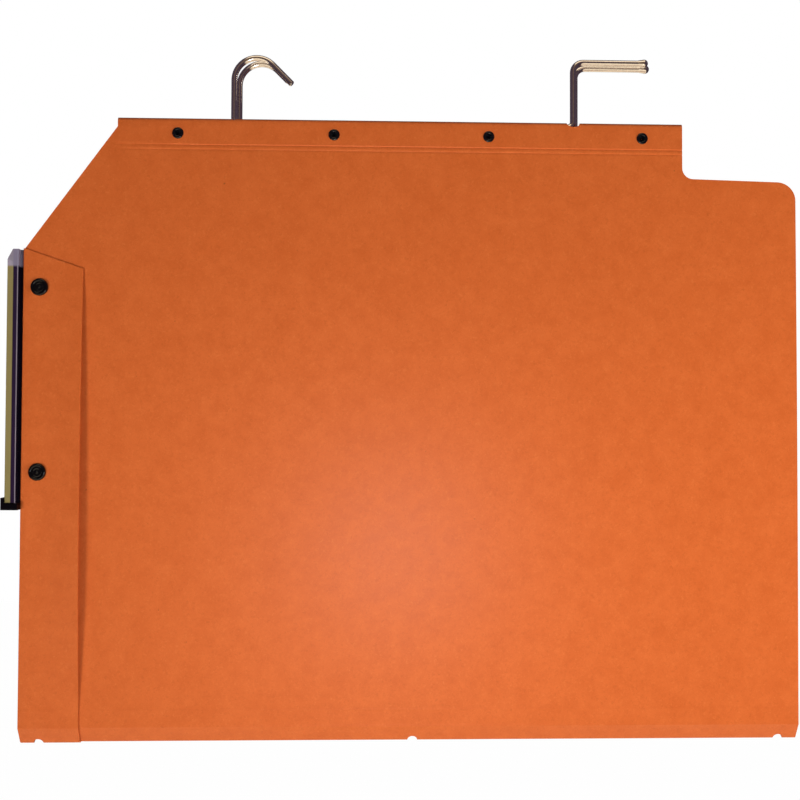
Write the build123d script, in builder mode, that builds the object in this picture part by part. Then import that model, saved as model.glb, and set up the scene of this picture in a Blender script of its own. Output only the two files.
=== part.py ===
from build123d import *
from math import acos, asin, atan2, cos, hypot, radians, sin, tan
import os

os.makedirs("parts", exist_ok=True)

# Hanging file for a cabinet, hung from its hooks. X runs from the label edge to the far edge, the front
# panel faces -Y and +Z is up. The origin is the middle of the front hanger's open hook, halfway between
# the two hangers. Distances named "from edge" are measured along X from the label edge, and those named
# "drop" are measured down from the top of the hem.

# Card sheet, folded from one blank
card = 0.4
panel_drop = 273.5
upper_strip = 7.5
lower_strip = 8.3
inner_gap = 8.0
bevel_drop = 61.8
tab_width = 53.8
step_fillet = 5.0
tab_drop = 26.5
tab_fall = 1.4
tab_corner = 8.5

# Flap turned over on the outside of each panel, along the label edge
flap_width = 27.4
flap_gap = 0.3
flap_fall = 9.2

# Centre fold, with punched holes and room for the two halves to lie flat
fold_hole = 4.5
fold_hole_margin = 8.5
fold_clearance = 0.02

# Hem, turned inwards around the rod of the hanger, so that the panel stays flat outside
hem_from_edge = 42.3
hem_length = 263.9
hem_depth = 14.0
hem_closes = 2.6
rod_clearance = 0.1
near_hole_width = 4.6
near_hole_depth = 2.4
far_hole_width = 6.4
far_hole_depth = 2.6

# Wire hangers, each one bent wire
wire = 2.8
hook_rise = 28.9
hook_radius = 10.5
hook_turn = 135.0
hook_tail = 12.8
stem_from_edge = 95.7
stem_spacing = 159.1
stem_bend = 2.5
arm_bend = 4.75
arm_length = 33.8
ball = 3.8
neck = 3.2
tip_chamfer = 0.35

# The rear wire is bent a little differently and sits a little further along
rear_hanger_shift = 1.85
rear_hanger_drop = 1.0
rear_tail = 7.3

# Hollow rivets through the hems
eyelet_count = 4
eyelet_near_margin = 27.7
eyelet_far_margin = 19.0
eyelet_drop = 7.3
eyelet_flange = 5.3
eyelet_barrel = 3.2
eyelet_bore = 2.2
eyelet_height = 0.55
eyelet_rounding = 0.3
eyelet_clearance = 0.05

# Two studs that fasten the label holder through flap and panel
stud_from_edge = 7.6
stud_top_margin = 17.3
stud_bottom_margin = 14.1
stud_cap = 8.0
stud_cap_height = 1.3
stud_dish = 5.0
stud_dish_depth = 0.55
stud_eye = 1.4
stud_eye_height = 0.35
stud_post = 3.2
stud_back = 7.0
stud_back_height = 1.2
stud_rounding = 0.4
stud_clearance = 0.05

# Clear label holder, an extruded channel with a lip inside the front panel
holder_drop = 62.4
holder_length = 116.3
holder_width = 14.0
holder_side = 1.0
holder_off_edge = 0.5
holder_web = 0.85
holder_wall = 1.3
holder_slot = 1.45
holder_lens = 2.5
holder_rounding = 0.5
holder_bevel_width = 2.6
holder_bevel_height = 4.9
lip_thickness = 1.0
lip_margin = 6.0

# Label and the end stop below it
label_thickness = 0.6
label_side_clearance = 0.3
label_recess = 8.6
label_rest_clearance = 0.1
stop_floor = 3.2
stop_lip = 1.5
stop_lip_height = 2.4
stop_overhang = 0.6
stop_tongue = 1.6
stop_clearance = 0.1
stop_rounding = 0.4

# Levels and places that follow from the sizes
half_gap = inner_gap / 2
wire_radius = wire / 2
tube_inside = wire_radius + rod_clearance
tube_outside = tube_inside + card
edge_x = -(stem_from_edge + hook_radius)
hem_x = edge_x + hem_from_edge
step_x = hem_x + hem_length
far_x = step_x + tab_width
hem_top = hook_radius - hook_rise
rod_z = hem_top - tube_outside
rod_y = half_gap + card - tube_outside
hem_close_z = rod_z - hem_closes
raw_edge_z = hem_top - hem_depth
upper_crease_z = hem_top - panel_drop
lower_crease_z = upper_crease_z - upper_strip
strip_tilt = asin(half_gap / lower_strip)
fold_z = lower_crease_z - lower_strip * cos(strip_tilt)
bevel_foot_z = hem_top - bevel_drop
tab_z = hem_top - tab_drop
fold_radius = card + flap_gap / 2
flap_base = card + flap_gap
layers = flap_base + card
sheet_start = edge_x + fold_radius
flap_end = edge_x + flap_width

inner_face = Plane.XZ.offset(half_gap)
outer_face = Plane.XZ.offset(half_gap + card)
flap_outer_face = Plane.XZ.offset(half_gap + layers)
hem_inner_face = Plane.XZ.offset(half_gap - card)

eyelet_pitch = (hem_length - eyelet_near_margin - eyelet_far_margin) / (eyelet_count - 1)
eyelet_points = [
    (hem_x + eyelet_near_margin + i * eyelet_pitch, hem_top - eyelet_drop) for i in range(eyelet_count)
]
holder_top = hem_top - holder_drop
holder_bottom = holder_top - holder_length
stud_points = [
    (edge_x + stud_from_edge, z) for z in (holder_top - stud_top_margin, holder_bottom + stud_bottom_margin)
]
fold_hole_centres = (edge_x + fold_hole_margin, (edge_x + far_x) / 2, far_x - fold_hole_margin)


# Folded edge between a panel and its flap, in a plane with X along the panel and Y outwards
def folded_edge(section_plane):
    with BuildSketch(section_plane) as edge:
        with Locations((sheet_start, card + flap_gap / 2)):
            Circle(fold_radius)
            Circle(flap_gap / 2, mode=Mode.SUBTRACT)
            Rectangle(2 * fold_radius, 2 * fold_radius, align=(Align.MIN, Align.CENTER), mode=Mode.SUBTRACT)
    return edge.sketch


# Strip of the base that hangs down from a crease, in a plane whose Z points outwards
def base_strip(crease, drop, fold_holes):
    down = crease.y_dir * -1
    with BuildPart() as strip:
        add(folded_edge(Plane(origin=crease.origin, x_dir=(1, 0, 0), z_dir=down)))
        extrude(amount=drop, dir=down)
        for layer, end_x in ((0, far_x), (flap_base, flap_end)):
            with BuildSketch(crease.offset(layer)):
                with Locations((sheet_start, 0)):
                    Rectangle(end_x - sheet_start, drop, align=(Align.MIN, Align.MAX))
            extrude(amount=card)
        if fold_holes:
            with BuildSketch(crease):
                with Locations([(x, -drop) for x in fold_holes]):
                    Circle(fold_hole / 2)
            extrude(amount=layers, mode=Mode.SUBTRACT)
    return strip.part


# Panel with its hem and flap, seen from the front; the stems' holes move along the hem with the hanger
def card_panel(hanger_shift, studs):
    near_x = edge_x + stem_from_edge + hanger_shift
    with BuildPart() as panel:
        # Hem: the sheet wraps the rod, comes back to the panel and lies against it down to the raw edge
        turned_in = 2 * card - tube_outside
        leaves = acos(tube_outside / hypot(turned_in, hem_closes)) + atan2(-hem_closes, turned_in)
        outside = (tube_outside * cos(leaves), tube_outside * sin(leaves))
        inside = (tube_inside * cos(leaves), tube_inside * sin(leaves))
        pinch = inside[1] + (tube_inside + inside[0]) / tan(leaves)
        with BuildSketch(Plane(origin=(hem_x, -rod_y, rod_z), x_dir=(0, 1, 0), z_dir=(1, 0, 0))):
            with BuildLine():
                ThreePointArc((-tube_outside, 0), (0, tube_outside), outside)
                Polyline(
                    outside,
                    (turned_in, -hem_closes),
                    (turned_in, tube_outside - hem_depth),
                    (-tube_outside, tube_outside - hem_depth),
                    (-tube_outside, 0),
                )
            make_face()
            with BuildLine():
                ThreePointArc((-tube_inside, 0), (0, tube_inside), inside)
                Polyline(inside, (-tube_inside, pinch), (-tube_inside, 0))
            make_face(mode=Mode.SUBTRACT)
        extrude(amount=step_x - hem_x)
        with BuildSketch(flap_outer_face):
            with Locations((near_x, hem_top)):
                Ellipse(near_hole_width / 2, near_hole_depth)
            with Locations((near_x + stem_spacing, hem_top)):
                Ellipse(far_hole_width / 2, far_hole_depth)
            with Locations(eyelet_points):
                Circle(eyelet_barrel / 2 + eyelet_clearance)
        extrude(amount=-layers - 2 * tube_outside, mode=Mode.SUBTRACT)

        with BuildSketch(inner_face):
            with BuildLine():
                Polyline(
                    (sheet_start, upper_crease_z),
                    (sheet_start, bevel_foot_z),
                    (hem_x, hem_close_z),
                    (hem_x, raw_edge_z),
                    (step_x, raw_edge_z),
                    (step_x, tab_z),
                    (far_x, tab_z - tab_fall),
                    (far_x, upper_crease_z),
                    close=True,
                )
            make_face()
            fillet(vertices().sort_by_distance((step_x, tab_z))[0], step_fillet)
            fillet(vertices().sort_by_distance((far_x, tab_z - tab_fall))[0], tab_corner)
        extrude(amount=card)
        add(folded_edge(Plane(origin=(0, -half_gap, bevel_foot_z), x_dir=(1, 0, 0), z_dir=(0, 0, -1))))
        extrude(amount=bevel_foot_z - upper_crease_z, dir=(0, 0, -1))
        with BuildSketch(inner_face.offset(flap_base)):
            with BuildLine():
                Polyline(
                    (sheet_start, upper_crease_z),
                    (sheet_start, bevel_foot_z),
                    (flap_end, bevel_foot_z - flap_fall),
                    (flap_end, upper_crease_z),
                    close=True,
                )
            make_face()
        extrude(amount=card)
        if studs:
            with BuildSketch(inner_face):
                with Locations(stud_points):
                    Circle(stud_post / 2 + stud_clearance)
            extrude(amount=layers, mode=Mode.SUBTRACT)
    return panel.part


# Hanger of one wire: tail, open hook, stem, rod in the hem, stem, arm and upset ball
def wire_hanger(hanger_plane, rod, tail):
    far_stem = stem_spacing - hook_radius
    arm_z = hook_radius
    turned = radians(180 - hook_turn)
    hook_end = (hook_radius * cos(turned), hook_radius * sin(turned))
    tail_end = (hook_end[0] + tail * sin(turned), hook_end[1] - tail * cos(turned))
    ball_x = far_stem + arm_length
    with BuildPart() as hanger:
        with BuildLine(hanger_plane):
            Line(tail_end, hook_end)
            CenterArc((0, 0), hook_radius, 180 - hook_turn, hook_turn)
            FilletPolyline(
                (-hook_radius, 0),
                (-hook_radius, rod),
                (far_stem, rod),
                (far_stem, arm_z),
                (ball_x, arm_z),
                radius=[stem_bend, stem_bend, arm_bend],
            )
        tail_start = hanger_plane.from_local_coords(tail_end)
        tail_way = hanger_plane.from_local_coords(hook_end) - tail_start
        with BuildSketch(Plane(origin=tail_start, z_dir=tail_way)):
            Circle(wire_radius)
        sweep()
        chamfer(edges().filter_by(GeomType.CIRCLE).sort_by_distance(tail_start)[0], tip_chamfer)
        neck_plane = Plane(origin=hanger_plane.from_local_coords((ball_x - neck, arm_z)), z_dir=(1, 0, 0))
        with Locations(neck_plane):
            Cone(wire_radius, ball / 2, neck, align=(Align.CENTER, Align.CENTER, Align.MIN))
        with Locations(hanger_plane.from_local_coords((ball_x, arm_z))):
            Sphere(ball / 2)
    return hanger.part


# Four hollow rivets, flanged on both faces of the hem
def hem_eyelets():
    with BuildPart() as eyelets:
        for face, way in ((outer_face, 1), (hem_inner_face, -1)):
            with BuildSketch(face):
                with Locations(eyelet_points):
                    Circle(eyelet_flange / 2)
            extrude(amount=way * eyelet_height)
        rims = edges().filter_by(GeomType.CIRCLE).group_by(Axis.Y)
        fillet(rims[0] + rims[-1], eyelet_rounding)
        with BuildSketch(hem_inner_face):
            with Locations(eyelet_points):
                Circle(eyelet_barrel / 2)
        extrude(amount=2 * card)
        with BuildSketch(hem_inner_face.offset(-eyelet_height)):
            with Locations(eyelet_points):
                Circle(eyelet_bore / 2)
        extrude(amount=2 * (card + eyelet_height), mode=Mode.SUBTRACT)
    return eyelets.part


with BuildPart() as front_panel:
    add(card_panel(0, True))

with BuildPart() as rear_panel:
    add(card_panel(rear_hanger_shift, False))
    mirror(about=Plane.XZ, mode=Mode.REPLACE)

front_upper_crease = Plane(origin=(0, -half_gap, upper_crease_z), x_dir=(1, 0, 0), z_dir=(0, -1, 0))
front_lower_crease = Plane(
    origin=(0, -half_gap, lower_crease_z),
    x_dir=(1, 0, 0),
    z_dir=(0, -cos(strip_tilt), -sin(strip_tilt)),
)

with BuildPart() as front_upper_strip:
    add(base_strip(front_upper_crease, upper_strip, ()))

with BuildPart() as rear_upper_strip:
    add(base_strip(front_upper_crease, upper_strip, ()))
    mirror(about=Plane.XZ, mode=Mode.REPLACE)

with BuildPart() as front_lower_strip:
    add(base_strip(front_lower_crease, lower_strip - fold_clearance, fold_hole_centres))

with BuildPart() as rear_lower_strip:
    add(base_strip(front_lower_crease, lower_strip - fold_clearance, fold_hole_centres))
    mirror(about=Plane.XZ, mode=Mode.REPLACE)

with BuildPart() as front_hanger:
    add(wire_hanger(Plane.XZ.offset(rod_y), rod_z, hook_tail))

with BuildPart() as rear_hanger:
    rear_hook = (rear_hanger_shift, rod_y, -rear_hanger_drop)
    rear_plane = Plane(origin=rear_hook, x_dir=(1, 0, 0), z_dir=(0, -1, 0))
    add(wire_hanger(rear_plane, rod_z + rear_hanger_drop, rear_tail))

with BuildPart() as front_hem_eyelets:
    add(hem_eyelets())

with BuildPart() as rear_hem_eyelets:
    add(hem_eyelets())
    mirror(about=Plane.XZ, mode=Mode.REPLACE)

# Label holder: lens, slot and wall stand off the folded edge, and the lip lies inside the front panel
web_x = edge_x - holder_off_edge
wall_x = web_x - holder_web
slot_x = wall_x - holder_wall
lens_x = slot_x - holder_slot
face_x = lens_x - holder_lens
lip_end = edge_x + stud_from_edge + stud_back / 2 + lip_margin
slot_width = holder_width - 2 * holder_side

with BuildPart() as label_holder:
    with BuildSketch(Plane.XY.offset(holder_bottom)):
        with Locations((face_x, 0)):
            Rectangle(wall_x - face_x, holder_width, align=(Align.MIN, Align.CENTER))
        fillet(vertices().group_by(Axis.X)[0], holder_rounding)
        with Locations((lens_x, 0)):
            Rectangle(holder_slot, slot_width, align=(Align.MIN, Align.CENTER), mode=Mode.SUBTRACT)
        with Locations((wall_x, -half_gap)):
            Rectangle(lip_end - wall_x, lip_thickness, align=(Align.MIN, Align.MIN))
    extrude(amount=holder_length)
    with BuildSketch(Plane.XZ.offset(-holder_width / 2)):
        with BuildLine():
            Polyline(
                (face_x, holder_top),
                (face_x + holder_bevel_width, holder_top),
                (face_x, holder_top - holder_bevel_height),
                close=True,
            )
        make_face()
    extrude(amount=holder_width, mode=Mode.SUBTRACT)
    with BuildSketch(inner_face):
        with Locations(stud_points):
            Circle(stud_post / 2 + stud_clearance)
    extrude(amount=-lip_thickness, mode=Mode.SUBTRACT)

# End stop: a floor under the channel, a lip over its face and a tongue in its slot
stop_width = holder_width + 2 * stop_overhang
with BuildPart() as label_end_stop:
    with BuildSketch(Plane.XY.offset(holder_bottom - stop_floor)):
        with Locations((face_x - stop_clearance - stop_lip, 0)):
            Rectangle(web_x - face_x + stop_clearance + stop_lip, stop_width, align=(Align.MIN, Align.CENTER))
    extrude(amount=stop_floor)
    with BuildSketch(Plane.XY.offset(holder_bottom)):
        with Locations((face_x - stop_clearance - stop_lip, 0)):
            Rectangle(stop_lip, stop_width, align=(Align.MIN, Align.CENTER))
    extrude(amount=stop_lip_height)
    fillet(edges().filter_by(Axis.Z).group_by(Axis.X)[0], stop_rounding)
    with BuildSketch(Plane.XY.offset(holder_bottom)):
        with Locations((lens_x + holder_slot / 2, 0)):
            Rectangle(holder_slot - 2 * stop_clearance, slot_width - 2 * stop_clearance)
    extrude(amount=stop_tongue)

with BuildPart() as label_strip:
    with BuildSketch(Plane.XY.offset(holder_bottom + stop_tongue + label_rest_clearance)):
        with Locations((lens_x + holder_slot / 2, 0)):
            Rectangle(label_thickness, slot_width - 2 * label_side_clearance)
    extrude(amount=holder_length - stop_tongue - label_rest_clearance - label_recess)

# Studs: dished caps with a post on the flap, and backs on the lip
lip_face = Plane.XZ.offset(half_gap - lip_thickness)
with BuildPart() as stud_caps:
    with BuildSketch(flap_outer_face):
        with Locations(stud_points):
            Circle(stud_cap / 2)
    extrude(amount=stud_cap_height)
    fillet(edges().filter_by(GeomType.CIRCLE).group_by(Axis.Y)[0], stud_rounding)
    with BuildSketch(flap_outer_face.offset(stud_cap_height - stud_dish_depth)):
        with Locations(stud_points):
            Circle(stud_dish / 2)
    extrude(amount=stud_dish_depth, mode=Mode.SUBTRACT)
    with BuildSketch(flap_outer_face.offset(stud_cap_height - stud_dish_depth)):
        with Locations(stud_points):
            Circle(stud_eye / 2)
    extrude(amount=stud_eye_height)
    with BuildSketch(flap_outer_face):
        with Locations(stud_points):
            Circle(stud_post / 2)
    extrude(amount=-(layers + lip_thickness + stud_back_height))

with BuildPart() as stud_backs:
    with BuildSketch(lip_face):
        with Locations(stud_points):
            Circle(stud_back / 2)
    extrude(amount=-stud_back_height)
    fillet(edges().filter_by(GeomType.CIRCLE).group_by(Axis.Y)[-1], stud_rounding)
    with BuildSketch(lip_face):
        with Locations(stud_points):
            Circle(stud_post / 2 + stud_clearance)
    extrude(amount=-stud_back_height, mode=Mode.SUBTRACT)

pieces = {
    "front_panel": front_panel,
    "rear_panel": rear_panel,
    "front_upper_strip": front_upper_strip,
    "rear_upper_strip": rear_upper_strip,
    "front_lower_strip": front_lower_strip,
    "rear_lower_strip": rear_lower_strip,
    "front_hanger": front_hanger,
    "rear_hanger": rear_hanger,
    "front_hem_eyelets": front_hem_eyelets,
    "rear_hem_eyelets": rear_hem_eyelets,
    "label_holder": label_holder,
    "label_end_stop": label_end_stop,
    "label_strip": label_strip,
    "stud_caps": stud_caps,
    "stud_backs": stud_backs,
}
for name, piece in pieces.items():
    piece.part.label = name
    export_step(piece.part, f"parts/{name}.step")

print("rod axis", round(rod_y, 3), round(rod_z, 3), "hem top", round(hem_top, 3))
print("upper crease", round(upper_crease_z, 3), "lower crease", round(lower_crease_z, 3))
print("centre fold", round(fold_z, 3), "label edge", round(edge_x, 3))
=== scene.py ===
import bpy
import math
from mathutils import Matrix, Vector


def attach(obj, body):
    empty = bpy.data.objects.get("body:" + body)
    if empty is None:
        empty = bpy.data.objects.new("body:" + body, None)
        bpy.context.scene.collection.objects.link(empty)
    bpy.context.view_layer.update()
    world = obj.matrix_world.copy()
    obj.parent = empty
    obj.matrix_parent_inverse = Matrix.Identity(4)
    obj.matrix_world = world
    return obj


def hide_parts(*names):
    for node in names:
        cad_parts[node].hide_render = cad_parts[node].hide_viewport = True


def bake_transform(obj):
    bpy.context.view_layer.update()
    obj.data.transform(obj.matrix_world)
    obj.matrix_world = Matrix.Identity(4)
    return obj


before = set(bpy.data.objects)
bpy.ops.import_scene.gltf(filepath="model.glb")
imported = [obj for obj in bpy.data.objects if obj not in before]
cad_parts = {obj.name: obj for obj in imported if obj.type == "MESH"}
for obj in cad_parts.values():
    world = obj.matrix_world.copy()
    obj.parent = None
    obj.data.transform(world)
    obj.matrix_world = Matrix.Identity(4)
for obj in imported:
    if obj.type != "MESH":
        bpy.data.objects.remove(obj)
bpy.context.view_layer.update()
mm = 0.001
cutGap, weldGap = 1e-7, 1e-6
print("frame loaded:", len(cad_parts), "nodes")


# sRGB hex to the linear colour that shaders take
def hexColour(code):
    parts = [int(code[i:i + 2], 16) / 255 for i in (1, 3, 5)]
    return [c / 12.92 if c <= 0.04045 else ((c + 0.055) / 1.055) ** 2.4 for c in parts] + [1.0]


def newMaterial(name):
    material = bpy.data.materials.new(name)
    material.use_nodes = True
    material.node_tree.nodes.clear()
    return material, material.node_tree


# adds one node; each setting is a property or an input, by name or place, and a socket is linked
def addNode(tree, kind, settings={}):
    node = tree.nodes.new(kind)
    for key, value in settings.items():
        if isinstance(value, bpy.types.NodeSocket):
            tree.links.new(value, node.inputs[key])
        elif isinstance(key, int) or key in node.inputs:
            node.inputs[key].default_value = value
        else:
            setattr(node, key, value)
    return node


def objectPlace(tree):
    return addNode(tree, "ShaderNodeTexCoord").outputs["Object"]


def separate(tree, vector):
    return addNode(tree, "ShaderNodeSeparateXYZ", {"Vector": vector}).outputs


# noise with patches of about this size in millimetres
def noise(tree, place, size, detail, **more):
    settings = {"Vector": place, "Scale": 1 / (size * mm), "Detail": detail, **more}
    return addNode(tree, "ShaderNodeTexNoise", settings).outputs["Fac"]


# takes a value from one range to another and holds it at the ends
def mapRange(tree, value, start, end, low=0.0, high=1.0):
    settings = {"Value": value, "From Min": start, "From Max": end, "To Min": low, "To Max": high}
    return addNode(tree, "ShaderNodeMapRange", settings).outputs["Result"]


# a ramp from pairs of place and hex colour
def ramp(tree, value, stops):
    node = addNode(tree, "ShaderNodeValToRGB", {"Fac": value})
    elements = node.color_ramp.elements
    while len(elements) < len(stops):
        elements.new(0.5)
    for element, (place, code) in zip(elements, stops):
        element.position = place
        element.color = hexColour(code)
    return node.outputs["Color"]


def mixColour(tree, share, first, second):
    settings = {"data_type": "RGBA", 0: share, 6: first, 7: second}
    return addNode(tree, "ShaderNodeMix", settings).outputs[2]


def mixShader(tree, share, first, second):
    return addNode(tree, "ShaderNodeMixShader", {0: share, 1: first, 2: second}).outputs["Shader"]


def maths(tree, operation, *values, clamp=False):
    settings = {"operation": operation, "use_clamp": clamp, **dict(enumerate(values))}
    return addNode(tree, "ShaderNodeMath", settings).outputs[0]


def bump(tree, height, strength, distance):
    settings = {"Height": height, "Strength": strength, "Distance": distance * mm}
    return addNode(tree, "ShaderNodeBump", settings).outputs["Normal"]


# a principled shader, led to the material's output
def addShader(tree, settings):
    shader = addNode(tree, "ShaderNodeBsdfPrincipled", settings)
    addNode(tree, "ShaderNodeOutputMaterial", {"Surface": shader.outputs["BSDF"]})


# a material whose tone, roughness and relief all follow one noise
def grainMaterial(name, look):
    material, tree = newMaterial(name)
    grain = noise(tree, objectPlace(tree), look["size"], look["detail"])
    addShader(tree, {**look["shader"], "Base Color": ramp(tree, grain, look["tones"]),
                     "Roughness": mapRange(tree, grain, 0, 1, *look["roughness"]),
                     "Normal": bump(tree, grain, *look["bump"])})
    return material


def dress(piece, material):
    piece.data.materials.clear()
    piece.data.materials.append(material)


def leaveEdit():
    if bpy.context.object and bpy.context.object.mode != "OBJECT":
        bpy.ops.object.mode_set(mode="OBJECT")


def activate(piece):
    leaveEdit()
    bpy.ops.object.select_all(action="DESELECT")
    piece.select_set(True)
    bpy.context.view_layer.objects.active = piece


# selects points, edges or faces by their place and goes to edit mode
def choose(piece, kind, test):
    activate(piece)
    bpy.context.tool_settings.mesh_select_mode = [kind == k for k in ("VERT", "EDGE", "FACE")]
    mesh = piece.data
    for group in (mesh.vertices, mesh.edges, mesh.polygons):
        group.foreach_set("select", [False] * len(group))
    points = [v.co / mm for v in mesh.vertices]
    if kind == "VERT":
        for v, p in zip(mesh.vertices, points):
            v.select = test(p)
    elif kind == "EDGE":
        for e in mesh.edges:
            e.select = all(test(points[i]) for i in e.vertices)
    else:
        for f in mesh.polygons:
            f.select = test(f.center / mm)
    bpy.ops.object.mode_set(mode="EDIT")


def everything(p):
    return True


def near(a, b):
    return abs(a - b) < 0.004


def metres(*values):
    return tuple(v * mm for v in values)


def grow(x, y, z):
    bpy.ops.mesh.extrude_region_move(TRANSFORM_OT_translate={"value": metres(x, y, z)})


def growPoint(x, y, z):
    bpy.ops.mesh.extrude_vertices_move(TRANSFORM_OT_translate={"value": metres(x, y, z)})


def shift(x, y, z):
    bpy.ops.transform.translate(value=metres(x, y, z))


# spin's own angle runs the other way round, so it is turned here
def turn(degrees, centre, axis, steps):
    bpy.ops.mesh.spin(steps=steps, angle=-math.radians(degrees), center=metres(*centre), axis=axis)


# cuts the chosen faces with a plane, keeping both sides or only the inner one
def cut(piece, point, normal, trim=False, where=everything):
    choose(piece, "FACE", where)
    bpy.ops.mesh.bisect(plane_co=metres(*point), plane_no=Vector(normal).normalized(),
                        clear_outer=trim, threshold=cutGap)
    leaveEdit()


# starts a piece as one point, and draws it on as a line of points
def drawLine(name, points):
    leaveEdit()
    bpy.ops.mesh.primitive_plane_add(size=mm)
    piece = bpy.context.object
    piece.name = name
    bpy.ops.object.mode_set(mode="EDIT")
    bpy.ops.mesh.select_mode(type="VERT")
    bpy.ops.mesh.select_all(action="SELECT")
    bpy.ops.mesh.merge(type="CENTER")
    shift(*points[0])
    for a, b in zip(points, points[1:]):
        growPoint(*(q - p for p, q in zip(a, b)))
    return piece


# rounds one corner of an outline
def roundCorner(piece, corner, size, steps):
    choose(piece, "VERT", lambda p: math.dist(p, corner) < 0.01)
    bpy.ops.mesh.bevel(offset=size * mm, affect="VERTICES", segments=steps, profile=0.5)
    leaveEdit()


def applyModifier(piece, kind, **settings):
    activate(piece)
    modifier = piece.modifiers.new(kind.lower(), kind)
    for key, value in settings.items():
        setattr(modifier, key, value)
    bpy.ops.object.modifier_apply(modifier=modifier.name)


# joins a sheet's doubled points and gives it its thickness, half to each side
def thicken(piece, thickness):
    choose(piece, "FACE", everything)
    bpy.ops.mesh.remove_doubles(threshold=weldGap)
    bpy.ops.mesh.normals_make_consistent(inside=False)
    leaveEdit()
    applyModifier(piece, "SOLIDIFY", thickness=thickness * mm, offset=0, use_even_offset=True)


def smooth(piece, degrees):
    activate(piece)
    bpy.ops.object.shade_smooth_by_angle(angle=math.radians(degrees))


# takes a drill's shape out of a piece, and the drill away
def bore(piece, bit):
    applyModifier(piece, "BOOLEAN", object=bit, operation="DIFFERENCE", solver="EXACT")
    bpy.data.objects.remove(bit)


# drills round or oval holes, straight down or tipped over to run along Y
def drill(piece, holes, depth, tip, sides=48):
    for x, y, z, width, height in holes:
        bpy.ops.mesh.primitive_cylinder_add(vertices=sides, radius=mm, depth=depth * mm,
                                            location=metres(x, y, z), rotation=(tip, 0, 0))
        bit = bpy.context.object
        bit.scale = (width / 2, height / 2, 1)
        bore(piece, bit)


# Camera at the photograph's place, square on to the front panel
photoCamera = {"place": (0.05295, -0.48, -0.16164), "turn": (1.59678, -0.00373, -0.03054),
               "lens": 46.148, "sensor": 36, "nearest": 0.01}
bpy.ops.object.camera_add(location=photoCamera["place"], rotation=photoCamera["turn"])
camera = bpy.context.object
camera.data.lens = photoCamera["lens"]
camera.data.sensor_width = photoCamera["sensor"]
camera.data.clip_start = photoCamera["nearest"]
bpy.context.scene.camera = camera
bpy.context.scene.view_settings.view_transform = "Standard"
print("camera set")

# Coloured card: kraft pulp dyed through and calendered, so it is matt with a faint sheen, its tone
# clouds over about 7 mm, and short darker and paler fibres and a few specks lie in it
cardLook = {
    "cloudSize": 7.0, "cloudDetail": 5.0, "cloudRough": 0.62,
    "tones": [(0.32, "#d7652a"), (0.68, "#e06d31")],
    "fibreSize": 1.1, "fibreDetail": 4.0, "fibreTwist": 1.2, "speckSize": 2.6, "speckDetail": 5.0,
    "dark": "#c35820", "darkShare": (0.54, 0.8, 0.0, 0.55),
    "pale": "#e98447", "paleShare": (0.44, 0.2, 0.0, 0.5),
    "speck": "#8a4018", "speckShare": (0.75, 0.8, 0.0, 0.7),
    "roughness": (0.42, 0.52), "gloss": 0.35, "bump": (0.3, 0.05),
}
cardMaterial, tree = newMaterial("dyed_kraft_card")
place = objectPlace(tree)
clouds = noise(tree, place, cardLook["cloudSize"], cardLook["cloudDetail"],
               Roughness=cardLook["cloudRough"])
fibres = noise(tree, place, cardLook["fibreSize"], cardLook["fibreDetail"],
               Distortion=cardLook["fibreTwist"])
specks = noise(tree, place, cardLook["speckSize"], cardLook["speckDetail"])
cardColour = ramp(tree, clouds, cardLook["tones"])
for grain, kind in ((fibres, "dark"), (fibres, "pale"), (specks, "speck")):
    share = mapRange(tree, grain, *cardLook[kind + "Share"])
    cardColour = mixColour(tree, share, cardColour, hexColour(cardLook[kind]))
addShader(tree, {"Base Color": cardColour, "Specular IOR Level": cardLook["gloss"],
                 "Roughness": mapRange(tree, clouds, 0, 1, *cardLook["roughness"]),
                 "Normal": bump(tree, fibres, *cardLook["bump"])})

# Bright drawn steel wire: hard gloss with faint cloudy draw marks
wireLook = {"size": 1.2, "detail": 4.0, "tones": [(0.35, "#e4dddb"), (0.65, "#f5efeb")],
            "roughness": (0.08, 0.15), "bump": (0.1, 0.02), "shader": {"Metallic": 1.0}}
wireMaterial = grainMaterial("drawn_steel_wire", wireLook)

# Black parts: stove lacquer on the eyelets, moulded plastic on the studs and the end stop
eyeletLook = {"size": 0.5, "detail": 3.0, "tones": [(0.3, "#060609"), (0.75, "#0d0d14")],
              "roughness": (0.14, 0.26), "bump": (0.2, 0.01), "shader": {"Specular IOR Level": 0.45}}
studLook = {"size": 0.7, "detail": 3.0, "tones": [(0.3, "#040406"), (0.75, "#090a0d")],
            "roughness": (0.1, 0.2), "bump": (0.2, 0.01), "shader": {"Specular IOR Level": 0.4}}
stopLook = {"size": 0.4, "detail": 3.0, "tones": [(0.3, "#050307"), (0.75, "#09060c")],
            "roughness": (0.3, 0.45), "bump": (0.2, 0.02), "shader": {"Specular IOR Level": 0.1}}
eyeletMaterial = grainMaterial("black_lacquered_brass", eyeletLook)
studMaterial = grainMaterial("black_moulded_abs", studLook)
stopMaterial = grainMaterial("black_polystyrene", stopLook)

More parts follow.
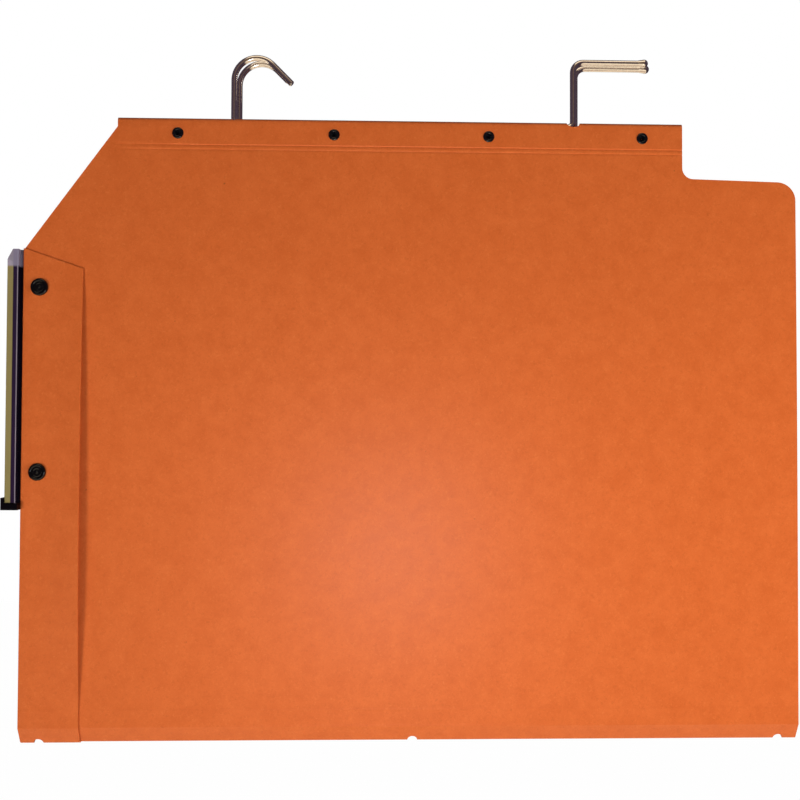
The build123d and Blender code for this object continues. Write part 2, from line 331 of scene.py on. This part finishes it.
# Extruded clear styrene, a little yellowed: edge-on the lens is khaki through its width; the slot's
# dark is painted shade, the wall's pale line is a painted highlight, the dark gap by the card is a
# painted shadow, and above the label the plastic is lavender
holderLook = {
    "faceX": -112.8, "webX": -106.7, "labelTop": -88.6, "labelFade": 0.5,
    "face": "#d6d0ba", "lens": "#9c8c58", "slotPaintedShade": "#2c1c36", "wallPaintedHighlight": "#9d8f98", "gapPaintedShadow": "#140b1a",
    # the slot, wall and gap bands are painted shade, a painted highlight and a painted shadow
    "tintAndPaintedShade": [(0.0, "face"), (0.04, "lens"), (0.43, "lens"), (0.48, "slotPaintedShade"), (0.74, "slotPaintedShade"),
              (0.765, "wallPaintedHighlight"), (0.81, "wallPaintedHighlight"), (0.835, "gapPaintedShadow")],
    "clear": "#b4a8be", "clearShare": 0.8, "scuffSize": 2.0, "scuffDetail": 3.0,
    "roughness": (0.06, 0.22), "clearness": (0.06, 0.3), "ior": 1.57,
}
holderMaterial, tree = newMaterial("yellowed_styrene_and_painted_shade")
place = objectPlace(tree)
across = separate(tree, place)
width = mapRange(tree, across["X"], holderLook["faceX"] * mm, holderLook["webX"] * mm)
# the lens's own khaki tint, then painted shade, painted highlight and painted shadow across the
# profile
tintAndPaintedShade = ramp(tree, width, [(stop, holderLook[band]) for stop, band in holderLook["tintAndPaintedShade"]])
above = mapRange(tree, across["Z"], (holderLook["labelTop"] - holderLook["labelFade"]) * mm,
                 (holderLook["labelTop"] + holderLook["labelFade"]) * mm,
                 0.0, holderLook["clearShare"])
scuffs = noise(tree, place, holderLook["scuffSize"], holderLook["scuffDetail"])
clearness = mapRange(tree, above, 0, holderLook["clearShare"], *holderLook["clearness"])
addShader(tree, {"Base Color": mixColour(tree, above, tintAndPaintedShade, hexColour(holderLook["clear"])),
                 "Roughness": mapRange(tree, scuffs, 0, 1, *holderLook["roughness"]),
                 "Transmission Weight": clearness, "IOR": holderLook["ior"]})

# Bare label: uncoated white paper with a faint fibre
paperLook = {"size": 0.8, "detail": 3.0, "tones": [(0.3, "#dcd9d0"), (0.7, "#ecebe4")],
             "roughness": 0.8}
labelMaterial, tree = newMaterial("uncoated_white_paper")
pulp = noise(tree, objectPlace(tree), paperLook["size"], paperLook["detail"])
addShader(tree, {"Base Color": ramp(tree, pulp, paperLook["tones"]),
                 "Roughness": paperLook["roughness"]})
print("materials made")

# Card sheet, drawn on its middle surface in millimetres; side is -1 for the front and 1 for the rear
card = {
    "thick": 0.4, "panelY": 4.2, "flapY": 4.9, "innerY": 4.0, "foldX": -105.65, "farX": 253.8,
    "hemX": -63.9, "stepX": 200.0, "hemTop": -18.4, "hemShut": -22.9, "hemEnd": -32.4,
    "hemGap": 0.04, "hemSteps": 18, "rodY": 2.5, "rodZ": -20.3, "tube": 1.7,
    "bevelFoot": -80.2, "tabZ": -44.5, "tabFall": 1.4, "stepRound": (5.0, 8), "tabRound": (8.5, 10),
    "flapEnd": -78.8, "flapFall": 9.2, "upper": -291.9, "lower": -299.4, "fold": -306.673,
    "tilt": 28.811, "edgeSteps": 8, "ridge": 0.06, "slack": 0.1, "smooth": 35,
    "rows": range(-284, -35, 8), "creaseRows": (-1.6, -1.2, -0.8, -0.4, 0, 0.4, 0.8, 1.2, 1.6, 4),
    "hemRows": (-23.3, -29.4, -34.4), "hemReach": -42,
    "hemLines": ((-31.0, 0.3), (-33.2, 0.18)), "lineRows": (0.4, 0, -0.8),
    "flapColumns": (-101, -96, -92, -90, -88, -86, -84, -82, -80.4),
}
card["midUpper"] = (card["upper"] + card["lower"]) / 2
card["middleY"] = (card["panelY"] + card["flapY"]) / 2
slant = math.radians(card["tilt"])
columns = (-92, card["flapEnd"], -60, -30, 0, 30, 60, 90, 120, 150, 180, 200, 215, 230, 244)
ends = {-1: "front", 1: "rear"}

# how far the flap's free edge stands off, from 0 to 1
lift = {"most": 3.0, "fromX": -96.0, "topZ": -92.0, "mostZ": -225.0, "footZ": -293.0,
        "across": 1.25, "upwards": 0.7, "downwards": 1.3}


def liftShare(p, side):
    inReach = lift["fromX"] < p.x < card["flapEnd"] + card["slack"]
    if not (near(p.y, side * card["flapY"]) and inReach):
        return 0.0
    across = ((p.x - lift["fromX"]) / (card["flapEnd"] - lift["fromX"])) ** lift["across"]
    if p.z > lift["mostZ"]:
        rise = max(0, (lift["topZ"] - p.z) / (lift["topZ"] - lift["mostZ"]))
        along = math.sin(math.pi / 2 * rise) ** lift["upwards"]
    else:
        fall = min(1, (lift["mostZ"] - p.z) / (lift["mostZ"] - lift["footZ"]))
        along = math.cos(math.pi / 2 * fall) ** lift["downwards"]
    return min(1.0, across) * along


# the panel's slight belly between its stiff edges
belly = {"most": 0.8, "topZ": -40, "footZ": -286, "reach": 0.8}


def bellyShare(p, side):
    inReach = p.x >= card["flapEnd"] and belly["footZ"] < p.z < belly["topZ"]
    if not (near(p.y, side * card["panelY"]) and inReach):
        return 0.0
    u = (p.x - card["flapEnd"]) / (card["farX"] - card["flapEnd"])
    v = (p.z - belly["topZ"]) / (belly["footZ"] - belly["topZ"])
    return math.sin(math.pi * u * belly["reach"]) * math.sin(math.pi * v)


def push(piece, share, side, amount):
    weights = [share(v.co / mm, side) for v in piece.data.vertices]
    group = piece.vertex_groups.new(name="push")
    for i, weight in enumerate(weights):
        group.add([i], weight, "REPLACE")
    applyModifier(piece, "DISPLACE", direction="Y", mid_level=0.0, strength=side * amount * mm,
                  vertex_group="push")
    piece.vertex_groups.clear()


# panel with its hem, folded label edge and flap, down to the middle of the upper base strip
def makePanel(name, side):
    y = side * card["panelY"]
    tabEnd = card["tabZ"] - card["tabFall"]
    outline = [
        (card["foldX"], card["midUpper"]), (card["foldX"], card["bevelFoot"]),
        (card["hemX"], card["hemShut"]), (card["stepX"], card["hemShut"]),
        (card["stepX"], card["tabZ"]), (card["farX"], tabEnd), (card["farX"], card["midUpper"]),
    ]
    panel = drawLine(name, [(x, y, z) for x, z in outline])
    bpy.ops.mesh.select_all(action="SELECT")
    bpy.ops.mesh.edge_face_add()
    roundCorner(panel, (card["stepX"], y, card["tabZ"]), *card["stepRound"])
    roundCorner(panel, (card["farX"], y, tabEnd), *card["tabRound"])
    for z in [card["upper"] + d for d in card["creaseRows"]] + list(card["rows"]):
        cut(panel, (0, y, z), (0, 0, 1))
    for x in columns:
        cut(panel, (x, y, 0), (1, 0, 0))

    # hem, straight up, in round the rod and back down against the panel
    layerY = card["panelY"] - card["thick"] - card["hemGap"]
    foot = (card["rodY"] - layerY, card["hemShut"] - card["rodZ"])
    leaves = math.acos(card["tube"] / math.hypot(*foot)) + math.atan2(foot[1], foot[0])
    choose(panel, "EDGE", lambda p: near(p.z, card["hemShut"]))
    grow(0, 0, card["rodZ"] - card["hemShut"])
    turn(side * math.degrees(math.pi - leaves), (0, side * card["rodY"], card["rodZ"]), (1, 0, 0),
         card["hemSteps"])
    grow(0, side * (card["tube"] * math.cos(leaves) - foot[0]),
         foot[1] - card["tube"] * math.sin(leaves))
    grow(0, 0, card["hemEnd"] - card["hemShut"])

    # two pressed lines under the hem
    def inHem(p):
        return card["hemX"] < p.x < card["stepX"] and card["hemReach"] < p.z < card["hemShut"]

    for z in card["hemRows"]:
        cut(panel, (0, 0, z), (0, 0, 1), False, inHem)
    firstX, lastX = card["hemX"] - card["slack"], card["stepX"] + card["slack"]
    for line, depth in card["hemLines"]:
        for offset in card["lineRows"]:
            cut(panel, (0, 0, line + offset), (0, 0, 1), False, inHem)
        choose(panel, "VERT", lambda p: near(p.z, line) and firstX < p.x < lastX)
        shift(0, -side * depth, 0)

    # folded edge and flap
    flapY = side * card["flapY"]
    flapWidth = card["flapEnd"] - card["foldX"]

    def onFlap(p):
        return near(p.y, flapY) and p.x > card["foldX"]

    choose(panel, "EDGE", lambda p: near(p.x, card["foldX"]) and near(p.y, y))
    turn(-side * 180, (card["foldX"], side * card["middleY"], 0), (0, 0, 1), card["edgeSteps"])
    grow(flapWidth, 0, 0)
    cut(panel, (card["foldX"], flapY, card["bevelFoot"]), (card["flapFall"], 0, flapWidth), True,
        onFlap)
    for x in card["flapColumns"]:
        cut(panel, (x, flapY, 0), (1, 0, 0), False, onFlap)
    choose(panel, "VERT", lambda p: near(p.z, card["upper"]))
    shift(0, side * card["ridge"], 0)
    leaveEdit()
    push(panel, bellyShare, side, belly["most"])
    push(panel, liftShare, side, lift["most"])
    return panel


# holes in the card: x, y, z and two widths; the near stem comes up through the hem's top, the far
# one through a punched notch
holes = {
    "nearStem": (-10.5, 3.1), "nearRise": 2, "nearDepth": 7, "farStem": (148.6, 6.4, 4.4),
    "rearShift": 1.85, "through": 30,
    "eyelets": [(-36.2 + 72.4 * i, 0, -25.7, 3.3, 3.3) for i in range(4)],
    "studs": [(-98.6, 0, z, 3.3, 3.3) for z in (-98.1, -183.0)],
}
for side in (-1, 1):
    piece = makePanel(ends[side] + "_card", side)
    thicken(piece, card["thick"])
    along = holes["rearShift"] if side > 0 else 0
    stemX, stemWidth = holes["nearStem"]
    stemZ = card["hemTop"] + holes["nearRise"]
    stemHole = (stemX + along, side * card["rodY"], stemZ, stemWidth, stemWidth)
    drill(piece, [stemHole], holes["nearDepth"], 0)
    notchX, notchWidth, notchHeight = holes["farStem"]
    notch = (notchX + along, 0, card["hemTop"], notchWidth, notchHeight)
    studHoles = holes["studs"] if side < 0 else []
    drill(piece, [notch] + holes["eyelets"] + studHoles, holes["through"], math.pi / 2)
    smooth(piece, card["smooth"])
    dress(piece, cardMaterial)
    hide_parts(ends[side] + "_panel")
    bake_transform(piece)
    print(piece.name, len(piece.data.polygons), "faces")

# the whole base as one creased strip, from one panel's end round the centre fold to the other's
strip = {"bend": 0.1, "bendSteps": 4, "foldSteps": 8, "rest": 2.45, "row": 0.4, "creaseRow": 0.5,
         "ridgeReach": 0.3, "pressBelow": 0.08, "pressFrom": 0.087, "pressed": 0.66, "half": 0.05}


def makeBase(name):
    across = (card["farX"],) + columns[::-1] + (card["foldX"],)
    base = drawLine(name, [(x, -card["panelY"], card["midUpper"]) for x in across])
    turn(180, (card["foldX"], -card["middleY"], card["midUpper"]), (0, 0, 1), card["edgeSteps"])
    growPoint(card["flapEnd"] - card["foldX"], 0, 0)
    choose(base, "EDGE", everything)
    down = (math.sin(slant), -math.cos(slant))
    halfLower = math.hypot(card["innerY"], card["lower"] - card["fold"]) / 2
    bend, row, creaseRow = strip["bend"], strip["row"], strip["creaseRow"]
    atCrease = bend * math.tan(slant / 2)
    atFold = bend / math.tan(slant)
    drops = (strip["rest"], row, row, creaseRow - atCrease)
    runs = (creaseRow - atCrease, row, row, halfLower - creaseRow - 2 * row,
            halfLower - 3 * row, row, row, row - atFold)
    creaseY, creaseZ = card["innerY"] - bend, card["lower"] + atCrease
    for drop in drops:
        grow(0, 0, -drop)
    turn(card["tilt"], (0, -creaseY, creaseZ), (1, 0, 0), strip["bendSteps"])
    for run in runs:
        grow(0, run * down[0], run * down[1])
    turn(180 - 2 * card["tilt"], (0, 0, card["fold"] + bend / math.sin(slant)), (1, 0, 0),
         strip["foldSteps"])
    for run in runs[::-1]:
        grow(0, run * down[0], -run * down[1])
    turn(card["tilt"], (0, creaseY, creaseZ), (1, 0, 0), strip["bendSteps"])
    for drop in drops[::-1]:
        grow(0, 0, drop)
    for side in (-1, 1):
        choose(base, "VERT",
               lambda p: abs(p.z - card["lower"]) < strip["ridgeReach"] and p.y * side > 0)
        shift(0, side * card["ridge"], 0)
    # the flap is pressed against the panel where the fold runs through both
    choose(base, "VERT", lambda p: p.z < card["fold"] + strip["pressBelow"])
    bpy.ops.transform.resize(value=(1, 1, strip["pressed"]),
                             center_override=metres(0, 0, card["fold"] + strip["pressFrom"]))
    leaveEdit()
    return base


# half a drill that cuts square through one lower strip, as the holes are punched before folding
fold = {"hole": 4.5, "places": (-97.7, 73.8, 245.3), "sides": 40, "depth": 8, "overlap": 0.05}


def punchFold(piece, x, side):
    bpy.ops.mesh.primitive_cylinder_add(
        vertices=fold["sides"], radius=fold["hole"] / 2 * mm, depth=fold["depth"] * mm,
        location=metres(x, 0, card["fold"]), rotation=(math.pi / 2 - side * slant, 0, 0))
    bit = bpy.context.object
    bpy.ops.object.transform_apply(location=True, rotation=True, scale=True)
    choose(bit, "FACE", everything)
    bpy.ops.mesh.bisect(plane_co=metres(0, -side * fold["overlap"], 0), plane_no=(0, -side, 0),
                        clear_outer=True, use_fill=True)
    leaveEdit()
    bore(piece, bit)


# the base is cut across the middle of each lower strip, so that each piece holds just one crease
def midLower(side):
    return (0, side * card["innerY"] / 2, (card["lower"] + card["fold"]) / 2)


base = makeBase("fold_card")
pieces = {}
for side in (-1, 1):
    activate(base)
    bpy.ops.object.duplicate()
    piece = bpy.context.object
    piece.name = ends[side] + "_base_card"
    cut(piece, (0, 0, 0), (0, -side, 0), True)
    cut(piece, midLower(side), (0, -side * math.sin(slant), -math.cos(slant)), True)
    pieces[side] = piece
for side in (-1, 1):
    cut(base, midLower(side), (0, side * math.sin(slant), math.cos(slant)), True,
        lambda p: p.y * side > strip["half"])
baseCards = (pieces[-1], base, pieces[1])
for piece in baseCards:
    thicken(piece, card["thick"])
for x in fold["places"]:
    for side in (-1, 1):
        punchFold(base, x, side)
for side in (-1, 1):
    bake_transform(pieces[side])
    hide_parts(ends[side] + "_upper_strip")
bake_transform(base)
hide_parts("front_lower_strip", "rear_lower_strip")
for piece in baseCards:
    smooth(piece, card["smooth"])
    dress(piece, cardMaterial)
    print(piece.name, len(piece.data.polygons), "faces")


# Turned fittings: each profile is radius and height over the card's face, spun about Y
def spinProfile(name, profile, x, faceY, way, z, steps):
    piece = drawLine(name, [(x + r, faceY + way * h, z) for r, h in profile])
    bpy.ops.mesh.select_all(action="SELECT")
    turn(360, (x, faceY, z), (0, 1, 0), steps)
    bpy.ops.mesh.select_all(action="SELECT")
    bpy.ops.mesh.remove_doubles(threshold=weldGap)
    bpy.ops.mesh.normals_make_consistent(inside=False)
    leaveEdit()
    return piece


# copies a turned piece along the card and joins the copies
def repeatPiece(piece, offsets):
    copies = []
    for x, z in offsets:
        activate(piece)
        bpy.ops.object.duplicate()
        bpy.ops.object.mode_set(mode="EDIT")
        bpy.ops.mesh.select_all(action="SELECT")
        shift(x, 0, z)
        leaveEdit()
        copies.append(bpy.context.object)
    activate(piece)
    for copy in copies:
        copy.select_set(True)
    bpy.ops.object.join()


# hollow rivet: rolled rim outside, barrel through the two layers that narrows inwards, and the
# same rim inside
eyelet = {
    "x": -36.2, "z": -25.7, "pitch": 72.4, "count": 4, "faceY": 4.4, "layers": 0.84, "throat": 0.2,
    "steps": 40, "smooth": 40,
    "rim": [(1.25, 0.12), (1.3, 0.32), (1.44, 0.47), (1.72, 0.55), (2.06, 0.53), (2.38, 0.41),
            (2.58, 0.22), (2.65, 0.0), (1.58, 0.0)],
}
innerRim = [(r, -eyelet["layers"] - h) for r, h in eyelet["rim"][::-1]]
throat = [(eyelet["throat"], -eyelet["layers"])]
eyeletProfile = eyelet["rim"] + innerRim + throat + eyelet["rim"][:1]
for side in (-1, 1):
    piece = spinProfile(ends[side] + "_eyelets", eyeletProfile, eyelet["x"],
                        side * eyelet["faceY"], side, eyelet["z"], eyelet["steps"])
    repeatPiece(piece, [(eyelet["pitch"] * i, 0) for i in range(1, eyelet["count"])])
    smooth(piece, eyelet["smooth"])
    dress(piece, eyeletMaterial)
    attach(piece, ends[side] + "_panel")
    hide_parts(ends[side] + "_hem_eyelets")
    print(piece.name, len(piece.data.polygons), "faces")

# snap stud: domed rim, dish with a ring, and the gate's point in the middle
stud = {
    "x": -98.6, "z": -98.1, "pitch": -84.9, "faceY": 5.1, "steps": 48, "smooth": 40,
    "cap": [(0.0, 1.12), (0.4, 1.08), (0.62, 0.96), (0.72, 0.78), (1.0, 0.73), (1.45, 0.73),
            (1.65, 0.84), (1.85, 0.88), (2.05, 0.82), (2.2, 0.74), (2.45, 0.78), (2.6, 0.98),
            (2.75, 1.18), (2.98, 1.28), (3.25, 1.3), (3.52, 1.24), (3.76, 1.06), (3.92, 0.8),
            (4.0, 0.45), (4.0, 0.0), (1.6, 0.0), (1.6, -3.3), (0.0, -3.3)],
}
piece = spinProfile("studs", stud["cap"], stud["x"], -stud["faceY"], -1, stud["z"], stud["steps"])
repeatPiece(piece, [(0, stud["pitch"])])
smooth(piece, stud["smooth"])
dress(piece, studMaterial)
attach(piece, "front_panel")
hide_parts("stud_caps")
print(piece.name, len(piece.data.polygons), "faces")

# the pieces that keep their CAD shape
keptNodes = {"front_hanger": wireMaterial, "rear_hanger": wireMaterial, "stud_backs": studMaterial,
             "label_end_stop": stopMaterial, "label_holder": holderMaterial,
             "label_strip": labelMaterial}
for node, material in keptNodes.items():
    dress(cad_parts[node], material)
print("kept nodes dressed")

# Pale floor under the hung file: white to the camera, matt to the lamps, and to gloss cream near
# the file and dusky further off
studio = {
    "white": "#ffffff", "cream": "#ffeccb", "dusk": "#3f343d", "brown": "#625041",
    "floorZ": -0.75, "floorSize": 6.0, "floorTone": "#e8e8e8", "floorSeen": 0.96, "floorGlow": 1.03,
    "creamShift": 0.15, "creamWide": (0.7, 0.85), "creamFar": (-1.9, -2.2),
    "ambient": 0.08, "roomGlow": 1.4, "sideSlope": 0.5, "beside": (0.21, 0.3),
    "behind": (-0.3, 0.0), "overFloor": (-0.25, -0.05),
    "roomStops": [(0.3, "cream"), (0.36, "brown"), (0.82, "brown"), (0.88, "cream")],
}
white, dusk = hexColour(studio["white"]), hexColour(studio["dusk"])
bpy.ops.mesh.primitive_plane_add(size=studio["floorSize"], location=(0, 0, studio["floorZ"]))
floor = bpy.context.object
floor.name = "studio_floor"
bpy.ops.object.transform_apply(location=True, rotation=True, scale=True)
floorMaterial, tree = newMaterial("pale_floor")
ray = addNode(tree, "ShaderNodeLightPath").outputs
seen = maths(tree, "ADD", ray["Is Camera Ray"], ray["Is Glossy Ray"], clamp=True)
seen = maths(tree, "ADD", seen, ray["Is Transmission Ray"], clamp=True)
spot = separate(tree, objectPlace(tree))
aside = maths(tree, "ABSOLUTE", maths(tree, "ADD", spot["X"], studio["creamShift"]))
dusky = maths(tree, "MAXIMUM", mapRange(tree, aside, *studio["creamWide"]),
              mapRange(tree, spot["Y"], *studio["creamFar"]))
glossColour = mixColour(tree, dusky, hexColour(studio["cream"]), dusk)
floorColour = mixColour(tree, ray["Is Glossy Ray"], white, glossColour)
matt = addNode(tree, "ShaderNodeBsdfDiffuse", {"Color": hexColour(studio["floorTone"])})
glow = addNode(tree, "ShaderNodeEmission", {"Color": floorColour, "Strength": studio["floorGlow"]})
floorMix = mixShader(tree, maths(tree, "MULTIPLY", seen, studio["floorSeen"]),
                     matt.outputs["BSDF"], glow.outputs["Emission"])
addNode(tree, "ShaderNodeOutputMaterial", {"Surface": floorMix})
dress(floor, floorMaterial)


# World: white to the camera, a little fill on the card, and to gloss a brown room with a cream
# ceiling and ground
def background(tree, colour, strength):
    settings = {"Color": colour, "Strength": strength}
    return addNode(tree, "ShaderNodeBackground", settings).outputs["Background"]


world = bpy.data.worlds.new("studio_world")
bpy.context.scene.world = world
world.use_nodes = True
tree = world.node_tree
tree.nodes.clear()
ray = addNode(tree, "ShaderNodeLightPath").outputs
way = separate(tree, addNode(tree, "ShaderNodeTexCoord").outputs["Generated"])
room = ramp(tree, mapRange(tree, way["Z"], -1, 1),
            [(stop, studio[tone]) for stop, tone in studio["roomStops"]])
# the cream reaches only so far to either side, and the wall behind is dark
reach = maths(tree, "ADD", maths(tree, "ABSOLUTE", way["Z"]), studio["sideSlope"])
share = maths(tree, "DIVIDE", maths(tree, "ABSOLUTE", way["X"]), reach)
backWall = maths(tree, "MULTIPLY", mapRange(tree, way["Y"], *studio["behind"]),
                 mapRange(tree, way["Z"], *studio["overFloor"]))
dim = maths(tree, "MAXIMUM", mapRange(tree, share, *studio["beside"]), backWall)
roomLight = background(tree, mixColour(tree, dim, room, dusk), studio["roomGlow"])
toGloss = mixShader(tree, ray["Is Glossy Ray"], background(tree, white, studio["ambient"]),
                    roomLight)
seen = maths(tree, "ADD", ray["Is Camera Ray"], ray["Is Transmission Ray"], clamp=True)
toCamera = mixShader(tree, seen, toGloss, background(tree, white, 1.0))
addNode(tree, "ShaderNodeOutputWorld", {"Surface": toCamera})

# Lamps: one low in front that makes the bright middle, one from low on the label side that throws
# the flap's shadow, a fill from the far side and one behind for the rear panel; only the front one
# shows as a highlight
lamps = [
    {"name": "front_lamp", "place": (0.07, -0.25, -0.25), "aim": (0.07, 0, -0.22),
     "size": 0.075, "power": 0.225, "sparkle": True},
    {"name": "label_lamp", "place": (-0.9, -1.0, -0.65), "aim": (0.05, 0, -0.2),
     "size": 0.4, "power": 12.1, "sparkle": False},
    {"name": "far_lamp", "place": (0.7, -0.3, -0.26), "aim": (0.2, 0, -0.2),
     "size": 0.3, "power": 3.2, "sparkle": False},
    {"name": "back_lamp", "place": (0.1, 0.75, 0.1), "aim": (0.07, 0, -0.17),
     "size": 0.6, "power": 5.6, "sparkle": False},
]
for lamp in lamps:
    bpy.ops.object.light_add(type="AREA", location=lamp["place"])
    bulb = bpy.context.object
    bulb.name = lamp["name"]
    bulb.data.size = lamp["size"]
    bulb.data.energy = lamp["power"]
    bulb.visible_glossy = lamp["sparkle"]
    towards = Vector(lamp["aim"]) - Vector(lamp["place"])
    bulb.rotation_euler = towards.to_track_quat("-Z", "Y").to_euler()
print("studio lit")
